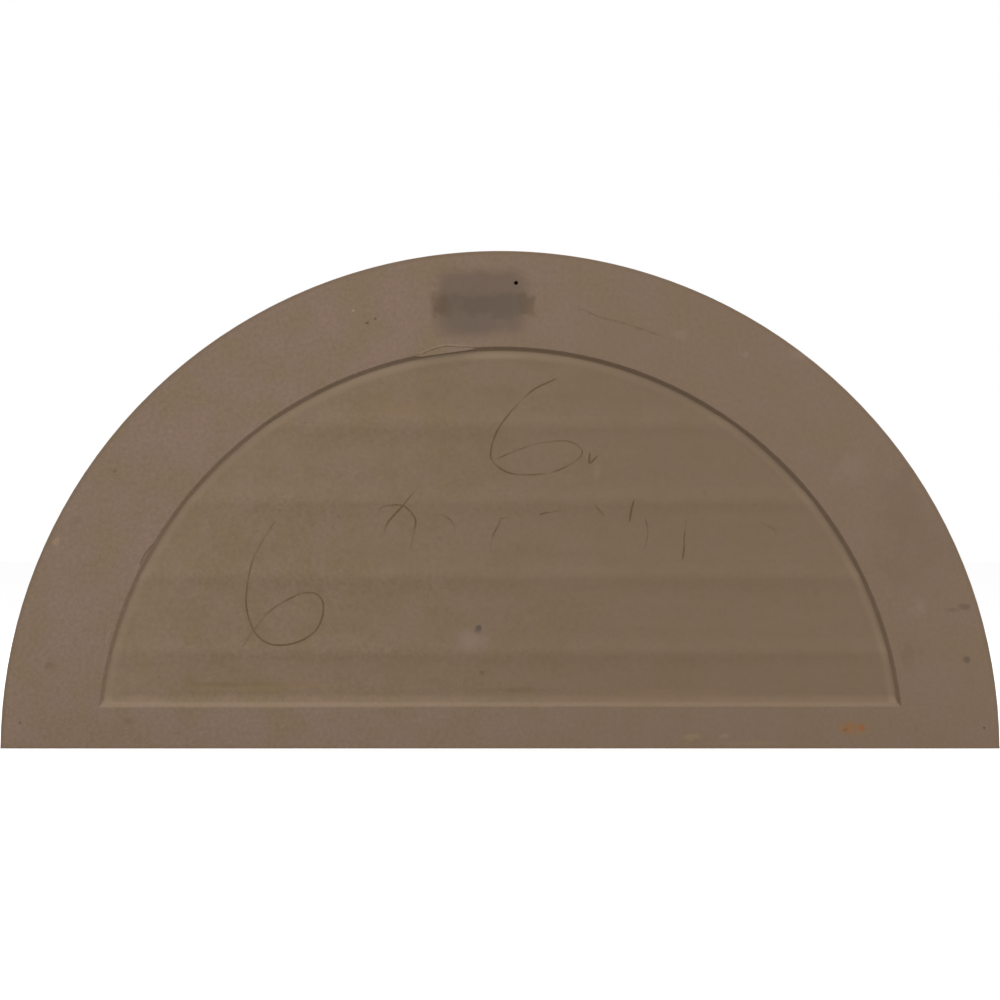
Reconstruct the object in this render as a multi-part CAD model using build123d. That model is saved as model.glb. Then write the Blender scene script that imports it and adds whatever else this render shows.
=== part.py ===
from build123d import *

import os
from math import ceil, radians, tan

# A closed half-round gable vent, moulded in one piece from high-density foam. Its front has a flat
# frame, a quarter-round trim and a field of louvres that let no air through. Its flat back lies on
# the wall, with a shallow recess in it.
# Millimetres, +Z up. The louvred front faces -Y and the back lies in the plane Y = 0. The origin is
# the middle of the base's back edge.
# Profiles are drawn flat, with height or radius along X and depth along Y. They are turned round the
# arch's axis, or run straight across the width. Where the two kinds meet, they mitre.

# Outline
arch_radius = 609.6
arch_centre_drop = 2.5  # the base lies this far above the arch's axis
side_draft_deg = 1.5  # the arch narrows towards the front, to leave the mould
back_edge_round = 1.5  # on the arch only
front_edge_round = 4.0  # on the arch and along the base

# Depths, which add up from the wall outwards
recess_depth = 8.0
web_thickness = 18.0  # foam between the recess and the louvres' roots
louvre_rise = 21.0  # from a louvre's root out to its nose
nose_setback = 2.0  # the noses lie this far behind the trim's ledge
trim_round = 9.0  # radius of the quarter round
trim_step = 3.0  # the trim's strip lies this far behind the band

# Front frame: a flat band, then the trim, which is a step, a strip, a quarter round and a ledge
arch_band = 100.0
rail_band = 36.0
trim_step_run = 0.5
trim_strip = 7.0
trim_ledge = 3.7
reveal_draft_deg = 3.0
trim_arris_round = 0.8

# Louvres, spaced down from the crown of the opening
louvre_pitch = 92.3
nose_height = 9.0
underside_draft_deg = 6.0
nose_round = 3.0
root_round = 2.0

# Recess in the back, with a low ridge behind each louvre's root
arch_rim = 116.9
rail_rim = 51.0
arch_wall_run = 5.2  # the recess's walls slope in by this much from the back to the floor
rail_wall_run = 7.0
rim_edge_round = 1.0
arch_foot_round = 4.0
arch_foot_sink = 0.6  # the arch's foot round is cut off this far short of running out on the floor
rail_foot_round = 18.0
ridge_height = 2.2  # before its crest is rounded
ridge_upper_flank = 26.0
ridge_lower_flank = 30.0
ridge_crest_round = 24.0

# Marks of the pins that carried the piece while it was primed
pin_hole_diameter = 5.0
pin_hole_depth = 14.0
pin_tip_angle_deg = 118.0
pin_hole_place = (-19.5, 568.0)  # across and up
prick_diameter = 2.6
prick_depth = 1.0
prick_places = [(585.5, 31.3), (-590.5, 25.0)]

overshoot = 5.0  # cutters run this far past what they cut

# Places that follow from the sizes above
floor_y = -recess_depth
root_y = floor_y - web_thickness
nose_y = root_y - louvre_rise
ledge_y = nose_y - nose_setback
strip_y = ledge_y - trim_round
front_y = strip_y - trim_step
outside_y = front_y - overshoot
band_edge_radius = arch_radius - arch_band
trim_width = trim_step_run + trim_strip + trim_round + trim_ledge
crown_z = band_edge_radius - trim_width - arch_centre_drop
recess_radius = arch_radius - arch_rim
past_arch = arch_radius + overshoot

# Plane whose X is height and whose Y is depth
upright = Plane(origin=(0, 0, 0), x_dir=(0, 0, 1), z_dir=(-1, 0, 0))


def turned(profile):
    """Turns a profile of radius and depth round the arch's axis."""
    return Pos(0, 0, -arch_centre_drop) * revolve(profile, Axis.Y)


def run_across(profile):
    """Runs a profile of height and depth across the whole width and past it."""
    return extrude(upright * profile, past_arch, both=True)


def polygon(points):
    return make_face(Polyline(*points, close=True))


def rounded(profile, radius, depth, before=past_arch):
    """Rounds the profile's corners that lie at a depth, off the axis and before the given X."""
    corners = [v for v in profile.vertices() if abs(v.Y - depth) < 0.01 and 0.01 < v.X < before]
    return fillet(corners, radius)


def louvre_lines():
    """Heights of the louvres' roots, from the first below the crown to the one behind the rail."""
    count = ceil((crown_z - rail_band) / louvre_pitch)
    return [crown_z - louvre_pitch * (step + 1) for step in range(count)]


def blank():
    """The half-round block, drafted on the arch and trimmed flat along the base."""
    front_radius = arch_radius - abs(front_y) * tan(radians(side_draft_deg))
    half = polygon([(0, 0), (arch_radius, 0), (front_radius, front_y), (0, front_y)])
    half = rounded(half, back_edge_round, 0)
    half = rounded(half, front_edge_round, front_y)
    above_base = polygon([(0, overshoot), (0, front_y), (past_arch, front_y), (past_arch, overshoot)])
    base_front = [v for v in above_base.vertices() if abs(v.X) < 0.01 and abs(v.Y - front_y) < 0.01]
    return turned(half) & run_across(fillet(base_front, front_edge_round))


def trim_air(reach):
    """Air in front of the trim and down to the louvres' roots.

    X runs inwards from the band's edge, as far as the reach.
    """
    strip_start = trim_step_run
    round_start = strip_start + trim_strip
    round_end = round_start + trim_round
    reveal_run = (root_y + overshoot - ledge_y) * tan(radians(reveal_draft_deg))
    outer = Polyline(
        (-overshoot, outside_y),
        (-overshoot, front_y),
        (0, front_y),
        (strip_start, strip_y),
        (round_start, strip_y),
    )
    quarter = TangentArc((round_start, strip_y), (round_end, ledge_y), tangent=(1, 0))
    inner = Polyline(
        (round_end, ledge_y),
        (trim_width, ledge_y),
        (trim_width + reveal_run, root_y + overshoot),
        (reach, root_y + overshoot),
        (reach, outside_y),
        (-overshoot, outside_y),
    )
    profile = make_face([outer, quarter, inner])
    band_edge = [v for v in profile.vertices() if abs(v.X) < 0.01]
    ledge_edge = [v for v in profile.vertices() if abs(v.X - trim_width) < 0.01]
    return fillet(band_edge + ledge_edge, trim_arris_round)


def louvre_air():
    """Air in front of the louvres, each sloping out from its root down to its nose."""
    underside_rise = louvre_rise * tan(radians(underside_draft_deg))
    lines = louvre_lines()
    points = [(past_arch, outside_y), (past_arch, root_y), (crown_z, root_y)]
    for line in lines:
        nose_foot = line + underside_rise
        points += [(nose_foot + nose_height, nose_y), (nose_foot, nose_y), (line, root_y)]
    lowest = lines[-1] - overshoot
    points += [(lowest, root_y), (lowest, outside_y)]
    profile = rounded(polygon(points), nose_round, nose_y)
    return run_across(rounded(profile, root_round, root_y, crown_z - 1))


def front_air():
    arch = Pos(band_edge_radius, 0) * mirror(trim_air(band_edge_radius), about=Plane.YZ)
    rail = Pos(rail_band, 0) * trim_air(past_arch)
    return turned(arch) & run_across(rail) & louvre_air()


def recess_air(wall_run, foot_round, foot_y, reach):
    """Air in the recess, down to the given depth.

    X runs inwards from the rim's inner edge, as far as the reach.
    """
    foot_run = wall_run * foot_y / floor_y
    points = [
        (-overshoot, overshoot),
        (-overshoot, 0),
        (0, 0),
        (foot_run, foot_y),
        (reach, foot_y),
        (reach, overshoot),
    ]
    profile = polygon(points)
    edge = [v for v in profile.vertices() if abs(v.X) < 0.01]
    return rounded(fillet(edge, rim_edge_round), foot_round, foot_y, reach)


def ridge(height):
    """A low ridge on the recess's floor, with two hollow flanks and a rounded crest."""
    crest = (height, floor_y + ridge_height)
    top = (height + ridge_upper_flank, floor_y)
    bottom = (height - ridge_lower_flank, floor_y)
    upper = TangentArc(top, crest, tangent=(-1, 0))
    lower = TangentArc(bottom, crest, tangent=(1, 0))
    under = Polyline(top, (top[0], floor_y - 1), (bottom[0], floor_y - 1), bottom)
    profile = make_face([upper, lower, under])
    crest_corner = [v for v in profile.vertices() if abs(v.X - height) < 0.01]
    return fillet(crest_corner, ridge_crest_round)


def back_air():
    inwards = recess_air(arch_wall_run, arch_foot_round, floor_y - arch_foot_sink, recess_radius)
    arch = Pos(recess_radius, 0) * mirror(inwards, about=Plane.YZ)
    rail = Pos(rail_rim, 0) * recess_air(rail_wall_run, rail_foot_round, floor_y, past_arch)
    for line in louvre_lines():
        if line - ridge_lower_flank > rail_rim + rail_wall_run:
            rail -= ridge(line)
    return turned(arch) & run_across(rail)


def pin_marks():
    """A drilled hole near the crown and a shallow prick at each end of the base."""
    radius = pin_hole_diameter / 2
    tip = radius / tan(radians(pin_tip_angle_deg / 2))
    half = polygon(
        [
            (0, -overshoot),
            (radius, -overshoot),
            (radius, pin_hole_depth),
            (0, pin_hole_depth + tip),
        ]
    )
    across, up = pin_hole_place
    marks = Pos(across, 0, up) * mirror(revolve(half, Axis.Y), about=Plane.XZ)
    for across, up in prick_places:
        prick = Cylinder(prick_diameter / 2, prick_depth + overshoot)
        marks += Pos(across, (overshoot - prick_depth) / 2, up) * Rot(90, 0, 0) * prick
    return marks


vent_moulding = blank() - front_air() - back_air() - pin_marks()

os.makedirs("parts", exist_ok=True)
export_step(vent_moulding, "parts/vent_moulding.step")
print("vent_moulding", len(vent_moulding.solids()), vent_moulding.volume, vent_moulding.bounding_box())
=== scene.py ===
from math import cos, hypot, pi, radians, sqrt

import bmesh
import bpy
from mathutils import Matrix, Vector, noise
from mathutils.bvhtree import BVHTree


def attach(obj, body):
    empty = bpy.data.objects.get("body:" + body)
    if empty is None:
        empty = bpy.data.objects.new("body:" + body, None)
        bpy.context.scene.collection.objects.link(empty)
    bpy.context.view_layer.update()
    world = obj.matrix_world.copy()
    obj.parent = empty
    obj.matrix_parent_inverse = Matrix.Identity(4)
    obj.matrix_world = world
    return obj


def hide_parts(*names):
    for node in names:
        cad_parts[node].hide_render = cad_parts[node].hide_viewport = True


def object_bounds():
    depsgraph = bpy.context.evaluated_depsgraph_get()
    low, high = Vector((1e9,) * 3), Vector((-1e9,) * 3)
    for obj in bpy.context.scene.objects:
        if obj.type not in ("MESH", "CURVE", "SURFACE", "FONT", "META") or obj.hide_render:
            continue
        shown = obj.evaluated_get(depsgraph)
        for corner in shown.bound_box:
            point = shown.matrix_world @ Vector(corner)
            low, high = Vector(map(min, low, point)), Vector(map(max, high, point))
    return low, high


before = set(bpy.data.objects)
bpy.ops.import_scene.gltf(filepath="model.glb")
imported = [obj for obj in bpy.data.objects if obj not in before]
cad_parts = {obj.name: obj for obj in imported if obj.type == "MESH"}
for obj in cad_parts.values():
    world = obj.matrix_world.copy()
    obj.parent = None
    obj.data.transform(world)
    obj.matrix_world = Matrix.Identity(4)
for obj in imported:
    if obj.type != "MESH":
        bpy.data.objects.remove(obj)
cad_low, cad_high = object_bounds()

# The vent body
# One casting of high-density urethane foam, flat frame, trim and louvres together. It left the mould
# by hand, so its faces wander by a few tenths of a millimetre, and it was primed with a matt tan coat.
slice_across = 0.008
louvre_pitch = 0.0923
crown_line = 0.4869
slices_round_a_line = (-30, -23, -16, -11, -7, -4, -2, 0, 2, 4, 7, 11, 17, 25, 33, 41, 50)  # mm above it
uncut_margin = 0.001  # at the base and the crown
recess_depth = 0.008
recess_foot_radius = 0.4872
recess_foot_height = 0.0660
floor_play = 0.002  # how far above the recess's depth a corner may lie and still be on its floor
facing_the_wall = 0.9
arch_axis_height = -0.0025
front_round = 0.004
front_round_radius = 0.604106  # where the middle of the round on the arch's front edge lies
front_round_play = 0.0006  # how far inside that radius a corner may lie and still be on the round
front_round_depth = 0.057
front_round_slices = (15, 30, 45, 60, 75)  # degrees
front_round_moved = (0.05712, 0.0609)  # the depths between which its corners are moved
base_round_top = 0.0041
ridge_height = 0.0022
ridge_upper_flank = 0.026
ridge_lower_flank = 0.030
ridge_crest_width = 0.012
wander_depth = 0.0003
broad_swells = 9  # to the metre
broad_share = 0.35
close_swells = 31
close_share = 0.15
close_swells_shift = Vector((7, 3, 5))
sharpest_bend = radians(28)
flat_bend = 0.0008  # radians, below which two faces count as one flat face
same_place = 1e-6
cut_play = 1e-7
place_digits = 5  # the decimals that tell two slices apart


def cut(mesh, parts, direction, place):
    """Cuts parts of a mesh along a plane, without removing anything."""
    bmesh.ops.bisect_plane(mesh, geom=parts, dist=cut_play, plane_co=direction * place, plane_no=direction)


def sliced(mesh, direction, places):
    """Cuts a whole mesh along parallel planes."""
    for place in places:
        cut(mesh, mesh.verts[:] + mesh.edges[:] + mesh.faces[:], direction, place)


def from_the_axis(place):
    """How far a place lies from the arch's axis."""
    return hypot(place.x, place.z - arch_axis_height)


def sharp_ridge_rise(height):
    """How far the recess's floor stands up behind the nearest louvre root. There is no ridge at the crown."""
    above = (height - crown_line) % louvre_pitch
    below = louvre_pitch - above
    if height > crown_line - louvre_pitch / 2:
        return 0.0
    if above < ridge_upper_flank:
        return ridge_height * (1 - above / ridge_upper_flank) ** 2
    if below < ridge_lower_flank:
        return ridge_height * (1 - below / ridge_lower_flank) ** 2
    return 0.0


def ridge_rise(height):
    """The same, with the crest rounded."""
    steps = [ridge_crest_width * (step / 10 - 0.5) for step in range(11)]
    return sum(sharp_ridge_rise(height + step) for step in steps) / len(steps)


def flat_regions(shape):
    """The number of the flat region that each face is part of, and the regions' areas."""
    region_of, areas = {}, []
    for start in shape.faces:
        if start in region_of:
            continue
        region_of[start] = len(areas)
        areas.append(0.0)
        waiting = [start]
        while waiting:
            face = waiting.pop()
            areas[-1] += face.calc_area()
            for edge in face.edges:
                if edge.calc_face_angle(1.0) < flat_bend:
                    for other in edge.link_faces:
                        if other not in region_of:
                            region_of[other] = region_of[face]
                            waiting.append(other)
    return region_of, areas


def faces_round(corner):
    """The faces that meet at a corner, in groups that sharp edges divide."""
    left = set(corner.link_faces)
    while left:
        group = [left.pop()]
        for face in group:
            for edge in face.edges:
                if corner in edge.verts and edge.calc_face_angle(pi) < sharpest_bend:
                    joined = left.intersection(edge.link_faces)
                    left -= joined
                    group.extend(joined)
        yield group


def steady_normals(shape, region_of, region_areas):
    """A normal for every face's corners. Large flat faces stay flat, and the rounds bend to meet them."""
    areas = {face: face.calc_area() for face in shape.faces}
    found = {}
    for corner in shape.verts:
        for group in faces_round(corner):
            facing = {}
            for face in group:
                region = region_of[face]
                facing[region] = facing.get(region, Vector()) + face.normal * areas[face]
            normal = Vector()
            for region, direction in facing.items():
                normal += direction.normalized() * region_areas[region]
            normal.normalize()
            for face in group:
                found[face, corner] = normal
    return [found[face, corner] for face in shape.faces for corner in face.verts]


body_shape = bmesh.new()
body_shape.from_mesh(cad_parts["vent_moulding"].data)
bmesh.ops.remove_doubles(body_shape, verts=body_shape.verts[:], dist=same_place)

columns = int(cad_high.x / slice_across)
column_places = [slice_across * column for column in range(-columns, columns + 1)]
line_count = int(cad_high.z / louvre_pitch) + 2
row_places = [crown_line + louvre_pitch * (1 - line) + step / 1000
              for line in range(line_count) for step in slices_round_a_line]
row_places = sorted(height for height in row_places if uncut_margin < height < cad_high.z - uncut_margin)
sliced(body_shape, Vector((1, 0, 0)), column_places)
sliced(body_shape, Vector((0, 0, 1)), row_places)

kept_columns = {round(place, place_digits) for place in column_places}
kept_rows = {round(place, place_digits) for place in row_places}


def lies_on_a_slice(edge):
    a, b = (corner.co for corner in edge.verts)
    same_column = abs(a.x - b.x) < same_place and round(a.x, place_digits) in kept_columns
    same_row = abs(a.z - b.z) < same_place and round(a.z, place_digits) in kept_rows
    return same_column or same_row


inside_a_cell = [
    edge for edge in body_shape.edges
    if len(edge.link_faces) == 2 and edge.calc_face_angle(1.0) < flat_bend and not lies_on_a_slice(edge)
]
bmesh.ops.dissolve_edges(body_shape, edges=inside_a_cell, use_verts=True)


# The solid's mesh is coarse on the round along the arch's front edge, so that is sliced and moved out to
# its true radius.
def lies_on_the_front_round(corner):
    outside = from_the_axis(corner.co) > front_round_radius - front_round_play
    return outside and corner.co.z > base_round_top and corner.co.y < -front_round_depth


for angle in front_round_slices:
    depth = front_round_depth + front_round * cos(radians(angle))
    faces = [face for face in body_shape.faces if all(map(lies_on_the_front_round, face.verts))]
    edges = {edge for face in faces for edge in face.edges}
    corners = {corner for face in faces for corner in face.verts}
    cut(body_shape, [*corners, *edges, *faces], Vector((0, 1, 0)), -depth)
for corner in body_shape.verts:
    place = corner.co
    if lies_on_the_front_round(corner) and front_round_moved[0] < -place.y < front_round_moved[1]:
        beyond = -place.y - front_round_depth
        true_radius = front_round_radius + sqrt(front_round ** 2 - beyond ** 2)
        grow = true_radius / from_the_axis(place)
        place.x *= grow
        place.z = arch_axis_height + (place.z - arch_axis_height) * grow

body_shape.normal_update()
for corner in body_shape.verts:
    place = corner.co
    on_floor = place.y < floor_play - recess_depth and corner.normal.y > facing_the_wall
    if on_floor and from_the_axis(place) < recess_foot_radius and place.z > recess_foot_height:
        place.y = ridge_rise(place.z) - recess_depth
body_shape.normal_update()
region_of, region_areas = flat_regions(body_shape)
thickness = cad_high.y - cad_low.y
for corner in body_shape.verts:
    broad = noise.noise(corner.co * broad_swells)
    close = noise.noise(corner.co * close_swells + close_swells_shift)
    wander = wander_depth * min(max(0.5 + broad_share * broad + close_share * close, 0.0), 1.0)
    corner.co.y -= wander * (1 + 2 * corner.co.y / thickness)
body_shape.normal_update()

body_mesh = bpy.data.meshes.new("vent_body")
body_shape.to_mesh(body_mesh)
body_mesh.shade_smooth()
body_mesh.set_sharp_from_angle(angle=sharpest_bend)
body_mesh.normals_split_custom_set(steady_normals(body_shape, region_of, region_areas))
body_shape.free()
body = bpy.data.objects.new("vent_body", body_mesh)
bpy.context.scene.collection.objects.link(body)
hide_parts("vent_moulding")
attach(body, "root")


def add(tree, kind, inputs=None, **settings):
    """Adds a node, with its own settings, and gives each named input a value or a socket."""
    made = tree.nodes.new(kind)
    for name, value in settings.items():
        setattr(made, name, value)
    for name, value in (inputs or {}).items():
        if isinstance(value, bpy.types.NodeSocket):
            tree.links.new(value, made.inputs[name])
        else:
            made.inputs[name].default_value = value
    return made


def maths(tree, operation, first, second=0.0, third=0.0):
    """The result of one Math node."""
    return add(tree, "ShaderNodeMath", {0: first, 1: second, 2: third}, operation=operation).outputs[0]


def product(tree, first, *factors):
    """Several values multiplied together."""
    for factor in factors:
        first = maths(tree, "MULTIPLY", first, factor)
    return first


def spread(tree, share, low, high):
    """Turns a share of 0 to 1 into a value between two others."""
    return maths(tree, "MULTIPLY_ADD", share, high - low, low)


def eased(tree, value, start, end):
    """A mask that rises smoothly from 0 at the start value to 1 at the end value."""
    limits = {"Value": value, "From Min": start, "From Max": end}
    return add(tree, "ShaderNodeMapRange", limits, interpolation_type="SMOOTHSTEP").outputs["Result"]


def band(tree, value, start, full, fading, end):
    """A mask that rises from the start to the full value, and falls from the fading to the end value."""
    return product(tree, eased(tree, value, start, full), eased(tree, value, end, fading))


def blended(tree, mask, under, over, strength=1.0):
    """One colour laid over another where a mask says."""
    if strength < 1.0:
        mask = product(tree, mask, strength)
    inputs = {"Factor": mask, "A": under, "B": over}
    mixed = add(tree, "ShaderNodeMix", data_type="RGBA")
    for socket in mixed.inputs:
        if socket.enabled and socket.name in inputs:
            value = inputs[socket.name]
            if isinstance(value, bpy.types.NodeSocket):
                tree.links.new(value, socket)
            else:
                socket.default_value = value
    return next(socket for socket in mixed.outputs if socket.enabled)


def paint(red, green, blue):
    """A colour given on the usual scale of 0 to 255, as the shader wants it."""
    def light(level):
        share = level / 255
        return share / 12.92 if share <= 0.04045 else ((share + 0.055) / 1.055) ** 2.4
    return (light(red), light(green), light(blue), 1.0)


def patchy(tree, place, scale, detail=3.0, roughness=0.5, stretch=(1, 1, 1), shift=0.0):
    """Cloudy variation from 0 to 1. The scale is the number of patches to the metre."""
    moving = {"Vector": place, "Scale": stretch, "Location": (shift, shift, shift)}
    moved = add(tree, "ShaderNodeMapping", moving).outputs[0]
    cloud = {"Vector": moved, "Scale": scale, "Detail": detail, "Roughness": roughness}
    return add(tree, "ShaderNodeTexNoise", cloud).outputs["Fac"]


def node_group(name, inputs, outputs):
    """An empty shader group with the given sockets, and its two ends."""
    group = bpy.data.node_groups.new(name, "ShaderNodeTree")
    kinds = {"colour": "NodeSocketColor", "number": "NodeSocketFloat", "place": "NodeSocketVector"}
    for label, kind in inputs.items():
        group.interface.new_socket(label, in_out="INPUT", socket_type=kinds[kind])
    for label, kind in outputs.items():
        group.interface.new_socket(label, in_out="OUTPUT", socket_type=kinds[kind])
    start = group.nodes.new("NodeGroupInput")
    end = group.nodes.new("NodeGroupOutput")
    return group, start.outputs, end.inputs


# The coat of primer: two tans that cloud into each other, a fine grain, scattered dark specks, and a
# slight orange peel. Levels are factors of the tan's brightness.
broad_cloud_share = 0.6
small_cloud_share = 0.4
cloud_level = (0.975, 1.025)
grain_level = (-0.31, 0.31)
hue_limits = (0.36, 0.64)
speck_limits = (0.73, 0.83)
speck_depth = 0.2
primer_roughness = (0.68, 0.88)
primer_coat, given, made = node_group(
    "primer_coat",
    {"Place": "place", "Warm Tan": "colour", "Dull Tan": "colour"},
    {"Colour": "colour", "Roughness": "number", "Height": "number"},
)
tree = primer_coat
clouds = patchy(tree, given["Place"], scale=7, detail=4, roughness=0.55)
small_clouds = patchy(tree, given["Place"], scale=34, shift=3.0)
hues = patchy(tree, given["Place"], scale=20, shift=6.0)
grain = patchy(tree, given["Place"], scale=190, roughness=0.85, shift=9.0)
specks = patchy(tree, given["Place"], scale=210, detail=1, shift=12.0)
peel = patchy(tree, given["Place"], scale=260, detail=2, shift=5.0)
tan = blended(tree, eased(tree, hues, *hue_limits), given["Warm Tan"], given["Dull Tan"])
broad_part = product(tree, clouds, broad_cloud_share)
small_part = product(tree, small_clouds, small_cloud_share)
uneven = maths(tree, "ADD", broad_part, small_part)
level = maths(tree, "ADD", spread(tree, uneven, *cloud_level), spread(tree, grain, *grain_level))
level = maths(tree, "SUBTRACT", level, product(tree, eased(tree, specks, *speck_limits), speck_depth))
shaded = add(tree, "ShaderNodeVectorMath", {0: tan, "Scale": level}, operation="SCALE")
tree.links.new(shaded.outputs[0], made["Colour"])
tree.links.new(spread(tree, small_clouds, *primer_roughness), made["Roughness"])
tree.links.new(peel, made["Height"])

# A mark on the back, with a ragged edge. It stays off the front and the sides.
only_the_back = (-0.020, -0.018)  # depths: what is seen on the back alone fades out between them
back_mark, given, made = node_group(
    "back_mark",
    {"Place": "place", "Across": "number", "Up": "number", "Half Width": "number", "Half Height": "number",
     "Softness": "number", "Raggedness": "number", "Grain": "number", "Squareness": "number"},
    {"Mask": "number"},
)
tree = back_mark
axes = add(tree, "ShaderNodeSeparateXYZ", {0: given["Place"]}).outputs
powers = []
for axis, middle, half_size in (("X", "Across", "Half Width"), ("Z", "Up", "Half Height")):
    share = maths(tree, "DIVIDE", maths(tree, "SUBTRACT", axes[axis], given[middle]), given[half_size])
    powers.append(maths(tree, "POWER", maths(tree, "ABSOLUTE", share), given["Squareness"]))
one_over_squareness = maths(tree, "DIVIDE", 1.0, given["Squareness"])
reach = maths(tree, "POWER", maths(tree, "ADD", *powers), one_over_squareness)
rag = patchy(tree, given["Place"], given["Grain"], detail=4, shift=2.0)
reach = maths(tree, "MULTIPLY_ADD", maths(tree, "SUBTRACT", rag, 0.5), given["Raggedness"], reach)
mask = eased(tree, reach, 1.0, maths(tree, "SUBTRACT", 1.0, given["Softness"]))
tree.links.new(product(tree, mask, eased(tree, axes["Y"], *only_the_back)), made["Mask"])

primer_specular = 0.2


def coated(name, warm_tan, dull_tan):
    """A material that wears the coat of primer in its own two tans, and the parts to build on."""
    material = bpy.data.materials.new(name)
    material.use_nodes = True
    tree = material.node_tree
    place = add(tree, "ShaderNodeTexCoord").outputs["Object"]
    inputs = {"Place": place, "Warm Tan": paint(*warm_tan), "Dull Tan": paint(*dull_tan)}
    coat = add(tree, "ShaderNodeGroup", inputs, node_tree=primer_coat).outputs
    shader = tree.nodes["Principled BSDF"].inputs
    tree.links.new(coat["Colour"], shader["Base Color"])
    tree.links.new(coat["Roughness"], shader["Roughness"])
    shader["Specular IOR Level"].default_value = primer_specular
    return material, tree, place, coat, shader


tan_primer, tree, place, coat, shader = coated("tan_primer", (128, 107, 92), (124, 105, 85))
axes = add(tree, "ShaderNodeSeparateXYZ", {0: place}).outputs
above_axis = maths(tree, "SUBTRACT", axes["Z"], arch_axis_height)
squares = [product(tree, length, length) for length in (axes["X"], above_axis)]
radius = maths(tree, "SQRT", maths(tree, "ADD", *squares))
near_the_back = eased(tree, axes["Y"], *only_the_back)

# The recess's floor is duller than the rim, with long level streaks where the coat ran. The side that is
# on the right from behind is painted darker, a painted shade for light that falls off towards it.
wall_to_floor = (-0.003, -0.0055)
right_shade_span = (0.30, -0.30)
floor_tint = (0.950, 0.961, 0.877)
streak_limits = (0.47, 0.62)
in_recess = product(tree, eased(tree, axes["Y"], *wall_to_floor), near_the_back)
duller = add(tree, "ShaderNodeVectorMath", {0: coat["Colour"], 1: floor_tint}, operation="MULTIPLY")
colour = blended(tree, in_recess, coat["Colour"], duller.outputs[0])
right_side_shade = eased(tree, axes["X"], *right_shade_span)
right_side_shade_on_floor = product(tree, right_side_shade, in_recess)
# Painted shade on the recess's floor, darker towards the right from behind.
colour = blended(tree, right_side_shade_on_floor, colour, paint(113, 94, 75), strength=0.4)
streaks = patchy(tree, place, scale=5, detail=5, roughness=0.6, stretch=(1, 1, 7), shift=4.0)
streak_mask = product(tree, eased(tree, streaks, *streak_limits), in_recess)
colour = blended(tree, streak_mask, colour, paint(127, 107, 88), strength=0.32)

# Paler coat gathered along the foot of the arch's wall, more of it near the crown. Towards the right from
# behind it is made stronger as painted light, filling the shade that the wall casts on the floor there.
# Painted light also lies thinly on the floor before the wall and under the crown, lifting the wall's shade.
foot_line_band = (0.4745, 0.4855, 0.4873, 0.4890)  # from the arch's axis
crown_middle = 0.06
crown_reach = (0.24, 0.06)
before_the_wall = (0.38, 0.475)
before_the_crown = (0.44, 0.478)
painted_light_side = (0.0, 0.45)
foot_line_fill_slope = -0.6  # change in strength to the metre across
foot_line_middle = 0.73
foot_line_at_the_crown = 0.30
painted_light_near_wall_strength = 0.14
painted_light_under_crown_strength = (0.06, 0.15)
from_crown = maths(tree, "ABSOLUTE", maths(tree, "SUBTRACT", axes["X"], crown_middle))
near_crown = eased(tree, from_crown, *crown_reach)
foot_line_fill_strength = maths(tree, "MULTIPLY_ADD", axes["X"], foot_line_fill_slope, foot_line_middle)
foot_line_fill_strength = maths(tree, "MULTIPLY_ADD", near_crown, foot_line_at_the_crown, foot_line_fill_strength)
foot_line_and_painted_light = product(tree, band(tree, radius, *foot_line_band), in_recess, foot_line_fill_strength)
painted_light_near_wall = product(tree, eased(tree, radius, *before_the_wall), eased(tree, axes["X"], *painted_light_side),
                    painted_light_near_wall_strength)
painted_light_under_crown = product(tree, eased(tree, radius, *before_the_crown),
                      spread(tree, near_crown, *painted_light_under_crown_strength))
painted_light_near_wall = product(tree, maths(tree, "MAXIMUM", painted_light_near_wall, painted_light_under_crown), in_recess)

# The rail's upper edge and the up-facing wall below it are painted paler, most on the left from behind: a
# painted highlight where light from above falls.
ledge_highlight_band = (0.0510, 0.0530, 0.0550, 0.0575)  # above the base
ledge_highlight_depth = (-0.0004, -0.0012)
ledge_highlight_strength = 0.35
rail_edge_highlight_band = (0.0478, 0.0510, 0.0515, 0.0535)
rail_edge_highlight_strength = 0.3
highlit_side = (-0.05, 0.28)
clear_of_the_rim = (0.4935, 0.4900)
ledge_highlight = product(tree, band(tree, axes["Z"], *ledge_highlight_band), eased(tree, axes["Y"], *ledge_highlight_depth),
                    near_the_back, ledge_highlight_strength)
rail_edge_highlight = product(tree, band(tree, axes["Z"], *rail_edge_highlight_band), eased(tree, axes["X"], *highlit_side),
                   eased(tree, radius, *clear_of_the_rim), near_the_back, rail_edge_highlight_strength)
# The paler coat, the painted light at the wall's foot and the painted highlight on the rail share one colour.
pale = maths(tree, "ADD", maths(tree, "MAXIMUM", foot_line_and_painted_light, ledge_highlight), painted_light_near_wall)
pale = maths(tree, "MAXIMUM", pale, rail_edge_highlight)
colour = blended(tree, pale, colour, paint(146, 126, 104))

# The back's outline and the bottom edge are painted darker, a painted shade on their rounded edges.
shaded_outline = (0.6030, 0.6090)
shaded_base = (0.0035, 0.0)
edge_shade = maths(tree, "MAXIMUM", eased(tree, radius, *shaded_outline), eased(tree, axes["Z"], *shaded_base))
colour = blended(tree, edge_shade, colour, paint(104, 84, 66), strength=0.4)
# Painted shade over the whole back, darker towards the right from behind.
colour = blended(tree, right_side_shade, colour, paint(117, 97, 78), strength=0.5)

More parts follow.
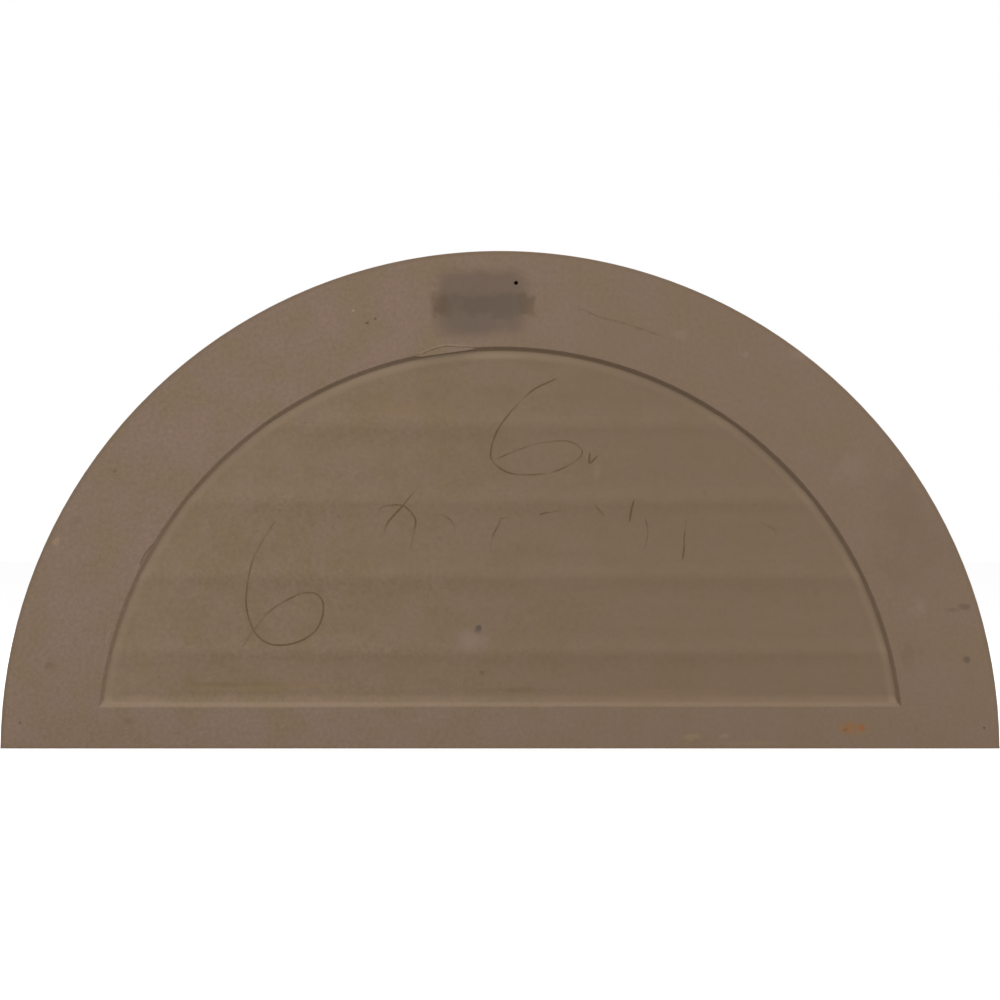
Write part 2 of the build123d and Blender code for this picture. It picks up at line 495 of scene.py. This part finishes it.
# Each mark: millimetres across and up, half width, half height, softness, raggedness, grain, colour and
# strength. The squarish ones are a smudge of rubbed ink and the dots beside it, and the rest are ovals.
squarish_marks = {
    "rubbed ink": (23, 545, 68, 48, 0.4, 0.45, 35, (103, 87, 75), 0.8),
    "rubbed ink below": (38, 517, 42, 26, 0.9, 0.8, 50, (101, 88, 78), 0.45),
    "ink blots": (20, 541, 68, 19, 0.6, 1.5, 52, (90, 78, 66), 0.62),
    "ink blot left": (73, 540, 14, 19, 0.8, 1.4, 90, (94, 76, 56), 0.6),
    "ink blot right": (-34, 542, 12, 18, 0.8, 1.4, 90, (96, 78, 60), 0.55),
    "dark dot": (162, 519, 3, 2, 0.7, 0.9, 220, (84, 60, 44), 0.75),
    "small dot": (152, 524, 2, 2, 0.7, 0.9, 220, (92, 66, 48), 0.7),
    "pale fleck": (179, 534, 2, 2, 0.7, 0.9, 220, (160, 142, 120), 0.7),
}
oval_marks = {
    "rust drip": (-426, 25, 15, 9, 0.7, 1.8, 210, (138, 90, 52), 0.85),
    "rust drip end": (-441, 25, 4, 6, 0.6, 1.5, 190, (150, 76, 38), 0.85),
    "rust drip core": (-421, 23, 4, 3, 0.8, 1.6, 240, (104, 66, 40), 0.6),
    "rust halo": (-430, 25, 26, 12, 0.9, 1.0, 70, (130, 104, 74), 0.5),
    "glue scuffs": (-234, 14, 16, 6, 0.8, 1.9, 130, (135, 115, 88), 0.65),
    "glue scuffs between": (-274, 15, 12, 4, 0.8, 1.7, 130, (136, 118, 99), 0.5),
    "glue scuffs end": (-300, 6, 60, 4, 0.8, 1.8, 110, (130, 110, 86), 0.4),
    "grey speck": (27, 145, 6, 7, 0.5, 1.2, 170, (82, 73, 68), 0.85),
    "pale rub": (36, 133, 30, 22, 0.9, 1.2, 60, (130, 111, 96), 0.8),
    "brown dot": (22, 92, 5, 4, 0.7, 0.8, 150, (108, 84, 64), 0.7),
    "dark thumb mark": (-567, 173, 12, 5, 0.8, 1.4, 90, (96, 79, 66), 0.6),
    "dark thumb streak": (-551, 169, 13, 4, 0.8, 1.4, 90, (100, 83, 70), 0.5),
    "pale ring": (-511, 172, 13, 14, 0.9, 2.0, 110, (134, 114, 97), 0.4),
    "smear by the ring": (-476, 172, 4, 16, 0.9, 1.6, 90, (108, 90, 74), 0.3),
    "speck above the third ridge": (-311, 297, 4, 3, 0.8, 1.2, 150, (102, 84, 66), 0.4),
    "smear in the third bay": (-387, 190, 6, 14, 0.9, 1.4, 90, (106, 88, 70), 0.25),
    "pale speck right": (-299, 480, 6, 6, 0.9, 1.9, 150, (136, 118, 102), 0.4),
    "dark thumb mark low": (-569, 108, 6, 6, 0.7, 0.9, 120, (92, 76, 66), 0.75),
    "rub right of crown": (-220, 504, 13, 10, 0.9, 1.8, 140, (134, 116, 100), 0.35),
    "rub on shoulder": (-366, 480, 20, 9, 0.9, 1.9, 120, (136, 115, 100), 0.45),
    "pale run": (-118, 338, 7, 16, 0.9, 2.6, 190, (132, 114, 96), 0.4),
    "small dark dot": (-250, 312, 3, 3, 0.7, 0.6, 150, (104, 85, 66), 0.5),
    "damp smear": (-520, 250, 60, 90, 0.9, 1.3, 26, (112, 95, 80), 0.35),
    "scuffed shoulder": (-490, 300, 42, 66, 0.9, 2.6, 45, (110, 91, 74), 0.35),
    "scuffed side": (-478, 225, 24, 62, 0.9, 2.6, 60, (110, 91, 74), 0.3),
    "scuffs by the recess": (-500, 115, 16, 22, 0.9, 2.6, 80, (108, 89, 72), 0.4),
    "pale scuffs": (-430, 345, 30, 30, 0.9, 2.4, 60, (131, 111, 95), 0.4),
    "smudge left low": (548, 102, 10, 10, 0.9, 2.2, 120, (104, 86, 68), 0.5),
    "smudge left high": (519, 276, 12, 8, 0.9, 2.4, 120, (110, 92, 73), 0.35),
    "speck left": (470, 339, 3, 4, 0.7, 1.0, 150, (100, 82, 62), 0.6),
    "pale chip left": (541, 252, 6, 7, 0.6, 1.5, 120, (146, 125, 98), 0.6),
    "smudge on the rail": (454, 33, 7, 6, 0.9, 1.8, 120, (106, 88, 70), 0.5),
    "yellow run low": (300, 76, 120, 8, 0.9, 1.6, 50, (129, 107, 78), 0.6),
    "yellow run low right": (-215, 68, 130, 6, 0.9, 1.6, 55, (127, 105, 78), 0.45),
    "brown tide": (-20, 71, 90, 4, 0.9, 1.8, 60, (108, 89, 66), 0.45),
    "brown tide left": (330, 78, 80, 5, 0.9, 1.6, 60, (108, 89, 66), 0.4),
    "yellow run high": (110, 415, 70, 16, 0.9, 1.3, 40, (128, 107, 80), 0.5),
    "pale coat under the crown": (8, 479, 62, 5, 0.9, 0.8, 60, (146, 130, 104), 0.45),
}
for marks, squareness in ((squarish_marks, 5.0), (oval_marks, 2.0)):
    for across, up, half_width, half_height, softness, ragged, grain_scale, tint, strength in marks.values():
        inputs = {
            "Place": place,
            "Across": across / 1000,
            "Up": up / 1000,
            "Half Width": half_width / 1000,
            "Half Height": half_height / 1000,
            "Softness": softness,
            "Raggedness": ragged,
            "Grain": grain_scale,
            "Squareness": squareness,
        }
        mark = add(tree, "ShaderNodeGroup", inputs, node_tree=back_mark)
        colour = blended(tree, mark.outputs["Mask"], colour, paint(*tint), strength)

peel_depth = 0.0002
peel_strength = 0.35
tree.links.new(colour, shader["Base Color"])
peeled = {"Height": coat["Height"], "Strength": peel_strength, "Distance": peel_depth}
bump = add(tree, "ShaderNodeBump", peeled)
tree.links.new(bump.outputs[0], shader["Normal"])
body_mesh.materials.clear()
body_mesh.materials.append(tan_primer)

# The pencil marks
# Someone pencilled two loops and a row of short ticks on the recess's floor. The line is graphite,
# rubbed on by hand, so it fades at its ends and breaks where the surface dips. Each stroke holds how
# hard it was pressed, from its start to its end, and its points in millimetres across and up.
pencil_width = 0.0022
pencil_proud = 0.00004
strip_sunk = 0.0001
strip_step = 0.002
strip_end_width = 0.45  # as a share of the full width, which it reaches in three steps
strip_end_growth = 0.25
width_wobble = 0.25
width_wobbles = 400  # to the metre
press_wobble = 0.5
press_wobbles = 60
pressed_width = (0.75, 0.25)  # the width without pressure, and what pressure adds to it
graphite_cover = (0.08, 1.2)
graphite_roughness = (0.65, 0.50)
primer_tooth = (-0.45, 0.45)
clear_of_the_back = 0.05
wall_gap = 0.00001  # no strip comes closer than this to the wall's plane
strokes = {
    "high_loop": ((1.3, 1.0, 1.35, 1.15, 0.95, 0.95, 0.9, 0.85), [
        (-70, 452), (-36, 434), (-1, 395), (11, 364), (7, 348), (-12, 336), (-39, 334), (-67, 338),
        (-94, 352), (-100, 364), (-83, 375), (-51, 373), (-21, 364), (7, 352)]),
    "low_loop": ((0.65, 0.8, 1.05, 1.25, 1.5, 1.6, 1.25, 0.95, 0.85, 0.6), [
        (273, 279), (284, 263), (300, 235), (307, 209), (310, 185), (309, 167), (303, 148), (294, 135),
        (280, 127), (263, 126), (246, 130), (230, 139), (221, 150), (216, 166), (217, 180), (226, 189),
        (242, 189), (258, 182), (278, 170), (291, 157), (303, 141), (316, 121)]),
    "tick_1": ((0.5, 0.55, 1.2, 1.5, 1.2, 0.8), [
        (94, 325), (102, 316), (110, 307), (119, 296), (129, 285), (138, 274), (141, 262)]),
    "tick_2": ((0.6, 0.95, 1.4, 1.0, 0.55), [
        (149, 292), (138, 296), (124, 297), (116, 295), (108, 287), (103, 278), (105, 265), (108, 250),
        (110, 240)]),
    "tick_3": ((0.65, 0.85, 0.7), [(81, 285), (71, 285), (61, 279), (56, 271), (56, 263)]),
    "tick_4": ((0.75, 1.0, 0.8, 0.9), [(-10, 282), (-1, 280), (1, 274), (7, 263), (11, 250), (11, 237)]),
    "tick_5": ((1.3, 1.15, 1.0), [(-47, 285), (-59, 288), (-75, 290)]),
    "tick_6": ((2.0, 2.0, 1.5), [(-110, 362), (-109, 350), (-111, 349), (-120, 358)]),
    "tick_7": ((0.5, 0.75, 0.6), [(-114, 301), (-121, 291), (-129, 282)]),
    "tick_8": ((1.5, 2.0, 1.9, 1.1), [(-164, 304), (-161, 293), (-159, 282), (-158, 274)]),
    "tick_9": ((1.0, 0.75, 0.6), [(-177, 282), (-180, 270), (-180, 257), (-176, 240)]),
    "tick_10": ((1.0, 0.5, 1.1, 0.9, 1.6, 1.5), [
        (-227, 279), (-227, 270), (-225, 257), (-225, 246), (-223, 230)]),
}

back_surface = BVHTree.FromObject(body, bpy.context.evaluated_depsgraph_get())


def on_the_back(across, up):
    """The point of the back at a place across and up, and the way that it faces."""
    behind = Vector((across, clear_of_the_back, up))
    point, facing, _, _ = back_surface.ray_cast(behind, Vector((0, -1, 0)))
    return point, facing


def smooth_path(points, spacing):
    """Places in metres at an even spacing along a smooth curve through points in millimetres."""
    points = [Vector((across / 1000, up / 1000)) for across, up in points]
    ends = [points[0] * 2 - points[1]] + points + [points[-1] * 2 - points[-2]]
    path = [points[0]]
    for before, start, end, after in zip(ends, ends[1:], ends[2:], ends[3:]):
        steps = max(2, round((end - start).length / spacing))
        for step in range(1, steps + 1):
            t = step / steps
            path.append(0.5 * (2 * start + (end - before) * t
                               + (2 * before - 5 * start + 4 * end - after) * t ** 2
                               + (3 * start - before - 3 * end + after) * t ** 3))
    return path


def part_way(values, share):
    """The value at a share of the way through a list of evenly spread values."""
    before = min(int(share * (len(values) - 1)), len(values) - 2)
    beyond = share * (len(values) - 1) - before
    return values[before] * (1 - beyond) + values[before + 1] * beyond


def swell(place, to_the_metre, layer):
    """Smooth variation about 0 along a strip. Each layer varies in its own way."""
    return noise.noise(Vector((place.x * to_the_metre, place.y * to_the_metre, layer)))


def joined(shape, rings):
    """Joins rings of four corners into one closed strip."""
    for first, second in zip(rings, rings[1:]):
        for a, b in ((0, 1), (1, 2), (2, 3), (3, 0)):
            shape.faces.new((first[a], first[b], second[b], second[a]))
    shape.faces.new(rings[0])
    shape.faces.new(rings[-1][::-1])


def draped_line(shape, points, width, proud, sunk, pressure_layer=None, presses=(1.0, 1.0)):
    """Adds a thin closed strip that follows the back and narrows at both ends."""
    path = smooth_path(points, strip_step)
    rings = []
    for number, (before, middle, after) in enumerate(zip([path[0]] + path, path, path[1:] + [path[-1]])):
        along = (after - before).normalized()
        side = Vector((-along.y, along.x))
        from_the_end = min(number, len(path) - 1 - number)
        taper = min(1.0, strip_end_width + strip_end_growth * from_the_end)
        wobble = 1 + width_wobble * swell(middle, width_wobbles, layer=2.0)
        press = part_way(presses, number / (len(path) - 1))
        reach = side * width / 2 * taper * wobble * (pressed_width[0] + pressed_width[1] * press)
        left, facing = on_the_back(*(middle + reach))
        right, _ = on_the_back(*(middle - reach))
        crest, _ = on_the_back(*middle)
        places = [left, crest + facing * proud, right, crest - facing * sunk]
        for point in places:
            point.y = min(point.y, -wall_gap)
        ring = [shape.verts.new(point) for point in places]
        if pressure_layer:
            unsteady = 0.75 + press_wobble * swell(middle, press_wobbles, layer=5.0)
            for corner in ring:
                corner[pressure_layer] = press * taper * unsteady
        rings.append(ring)
    joined(shape, rings)


def finished_lines(name, shape, material):
    """Turns the drawn strips into a piece of the object."""
    bmesh.ops.recalc_face_normals(shape, faces=shape.faces[:])
    mesh = bpy.data.meshes.new(name)
    shape.to_mesh(mesh)
    shape.free()
    mesh.materials.append(material)
    piece = bpy.data.objects.new(name, mesh)
    bpy.context.scene.collection.objects.link(piece)
    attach(piece, "root")


graphite, tree, place, coat, shader = coated("graphite", (121, 102, 82), (118, 99, 77))
pressure = add(tree, "ShaderNodeAttribute", attribute_name="pressure").outputs["Fac"]
tooth = patchy(tree, place, scale=900, detail=2)
cover = eased(tree, maths(tree, "ADD", pressure, spread(tree, tooth, *primer_tooth)), *graphite_cover)
tree.links.new(blended(tree, cover, coat["Colour"], paint(94, 73, 49)), shader["Base Color"])
tree.links.new(spread(tree, cover, *graphite_roughness), shader["Roughness"])

pencil_shape = bmesh.new()
pressure_layer = pencil_shape.verts.layers.float.new("pressure")
for presses, points in strokes.values():
    draped_line(pencil_shape, points, pencil_width, pencil_proud, strip_sunk, pressure_layer, presses)
finished_lines("pencil_marks", pencil_shape, graphite)

# The stain lines
# Damp drew a few brown hairlines in the primer, on the rim and in the recess. They are faint and
# about two millimetres wide.
stain_width = 0.0024
stain_proud = 0.00002
stain_fading = (0.35, 0.65)
stain_lines = {
    "across the rim": [(-86, 537), (-104, 534), (-122, 526), (-147, 520), (-171, 512), (-195, 504)],
    "second bay, right": [(-318, 276), (-326, 272), (-334, 268), (-338, 262)],
    "second bay, far right": [(-352, 258), (-366, 262), (-380, 256)],
}


def drawn_lines(name, lines, material, width, proud, sunk):
    """Makes one piece of several strips."""
    shape = bmesh.new()
    for points in lines.values():
        draped_line(shape, points, width, proud, sunk)
    finished_lines(name, shape, material)


brown_stain, tree, place, coat, shader = coated("brown_stain", (122, 103, 85), (119, 100, 80))
fading = eased(tree, patchy(tree, place, scale=90), *stain_fading)
stained = blended(tree, fading, coat["Colour"], paint(100, 80, 60), strength=0.5)
tree.links.new(stained, shader["Base Color"])
drawn_lines("stain_lines", stain_lines, brown_stain, stain_width, stain_proud, strip_sunk)

# The mould flash
# Foam crept past the mould's core and left thin fins on the recess's edge, coated with the rest. The
# one left of the crown is a flap that hangs over the arch's wall. The fins are painted paler, a painted
# highlight, and the dark strips along the flap's root and on the left side are painted shadow.
flap_thickness = 0.0006
flap_proud = 0.0001
flap_step = 0.004
flap_rings = 25
fin_width = 0.0014
fin_proud = 0.0003
fin_sunk = 0.0002
# Dark strips of painted shadow along the flap's root and on the left side.
flash_shadow_width = 0.0013
flash_shadow_proud = flap_proud + 0.00005
flap_root = [
    (104, 479.5), (97, 480.5), (92, 482), (83, 486), (73, 489), (65, 490.3), (57, 490.2), (49, 489.4),
    (42, 489.8), (34, 489), (28, 487.5)]
flap_lip = [
    (104, 479), (98, 478), (92, 478.3), (83, 480), (74, 481), (66, 482.2), (58, 483.4), (50, 484.4),
    (42, 485.4), (34, 487), (28, 487.2)]
fin_lines = {
    "above the crack": [
        (99, 482.6), (92, 484.4), (83, 488), (73, 491), (65, 492.3), (57, 492.2), (34, 490.7)],
    "left side": [(482, 126), (477, 141), (471, 155)],
}
flash_shadow_lines = {
    "root of the flap": flap_root,
    "left side": [(423, 250), (433, 237), (439, 224)],
}

flap_shape = bmesh.new()
root_path = smooth_path(flap_root, flap_step)
lip_path = smooth_path(flap_lip, flap_step)
rings = []
for number in range(flap_rings):
    share = number / (flap_rings - 1)
    root = part_way(root_path, share)
    lip = part_way(lip_path, share)
    edge, _ = on_the_back(*root)
    top = min(edge.y + flap_proud, -wall_gap)
    bottom = top - flap_thickness
    corners = [(root, top), (lip, top), (lip, bottom), (root, bottom)]
    rings.append([flap_shape.verts.new((place.x, depth, place.y)) for place, depth in corners])
joined(flap_shape, rings)
finished_lines("mould_flash", flap_shape, tan_primer)

# The fins' paler colour is a painted highlight where light catches their raised tops.
fin_highlight, *_ = coated("fin_highlight", (136, 116, 98), (132, 112, 91))
drawn_lines("mould_fins", fin_lines, fin_highlight, fin_width, fin_proud, fin_sunk)

# The dark strips are painted shadow, along the flap's root and on the left side.
flash_shadow, *_ = coated("flash_shadow", (98, 77, 58), (92, 72, 52))
drawn_lines("flash_shadow_strips", flash_shadow_lines, flash_shadow, flash_shadow_width, flash_shadow_proud, strip_sunk)

# The studio
# A white floor, a strong even sky and large soft lamps: one on each side of the camera, the right one
# the stronger, one above the camera, one overhead and one for the louvred front.
camera_distance = 5.0
frame_width = 1.2198  # the photograph's width, measured on the plane of the back
frame_middle_height = 0.3031
floor_half = 15.0
sky_strength = 0.78
floor_under_the_object = (0.35, 0.35, 0.35, 1)
floor_as_seen = (0.8, 0.8, 0.8, 1)
floor_lift = 0.35
white = (1, 1, 1, 1)

camera_data = bpy.data.cameras.new("camera")
camera_data.sensor_width = 36
camera_data.lens = camera_data.sensor_width * camera_distance / frame_width
camera_data.clip_end = 100
camera = bpy.data.objects.new("camera", camera_data)
camera.location = (0, camera_distance, frame_middle_height)
camera.rotation_euler = (pi / 2, 0, pi)
bpy.context.scene.collection.objects.link(camera)
bpy.context.scene.camera = camera


def soft_lamp(name, place, size, power, target=(0, 0, 0.3)):
    lamp_data = bpy.data.lights.new(name, "AREA")
    lamp_data.shape = "DISK"
    lamp_data.size = size
    lamp_data.energy = power
    lamp = bpy.data.objects.new(name, lamp_data)
    lamp.location = place
    lamp.rotation_euler = (Vector(target) - Vector(place)).to_track_quat("-Z", "Y").to_euler()
    lamp.visible_camera = False
    bpy.context.scene.collection.objects.link(lamp)


soft_lamp("right_lamp", (-4.0, 3.2, 1.6), size=3.6, power=76)
soft_lamp("left_lamp", (4.0, 3.2, 1.6), size=3.6, power=36)
soft_lamp("top_lamp", (0, 1.4, 4.0), size=2.4, power=31)
soft_lamp("camera_lamp", (0, 5.5, 2.2), size=5.0, power=48)
soft_lamp("front_lamp", (1.0, -3.5, 2.8), size=2.2, power=80)

floor_mesh = bpy.data.meshes.new("floor")
floor_shape = bmesh.new()
bmesh.ops.create_grid(floor_shape, x_segments=1, y_segments=1, size=floor_half)
floor_shape.to_mesh(floor_mesh)
floor_shape.free()
floor = bpy.data.objects.new("floor", floor_mesh)
bpy.context.scene.collection.objects.link(floor)


def seen_itself(tree):
    """1 where the floor or the sky is seen or mirrored, and 0 where it lights the object."""
    rays = add(tree, "ShaderNodeLightPath").outputs
    seen = maths(tree, "MAXIMUM", rays["Is Camera Ray"], rays["Is Glossy Ray"])
    return maths(tree, "MAXIMUM", seen, rays["Is Transmission Ray"])


floor_white = bpy.data.materials.new("floor_white")
floor_white.use_nodes = True
tree = floor_white.node_tree
tree.nodes.remove(tree.nodes["Principled BSDF"])
dim = add(tree, "ShaderNodeBsdfDiffuse", {"Color": floor_under_the_object})
bright = add(tree, "ShaderNodeBsdfDiffuse", {"Color": floor_as_seen})
lift = add(tree, "ShaderNodeEmission", {"Color": white, "Strength": floor_lift})
shown = add(tree, "ShaderNodeAddShader", {0: bright.outputs[0], 1: lift.outputs[0]})
mix = add(tree, "ShaderNodeMixShader", {0: seen_itself(tree), 1: dim.outputs[0], 2: shown.outputs[0]})
tree.links.new(mix.outputs[0], tree.nodes["Material Output"].inputs["Surface"])
floor_mesh.materials.append(floor_white)

world = bpy.data.worlds.new("studio")
bpy.context.scene.world = world
world.use_nodes = True
tree = world.node_tree
tree.nodes.clear()
sky = add(tree, "ShaderNodeBackground", {"Color": white, "Strength": sky_strength})
backdrop = add(tree, "ShaderNodeBackground", {"Color": white, "Strength": 1.0})
mix = add(tree, "ShaderNodeMixShader", {0: seen_itself(tree), 1: sky.outputs[0], 2: backdrop.outputs[0]})
add(tree, "ShaderNodeOutputWorld", {"Surface": mix.outputs[0]})

bpy.context.scene.view_settings.view_transform = "Standard"
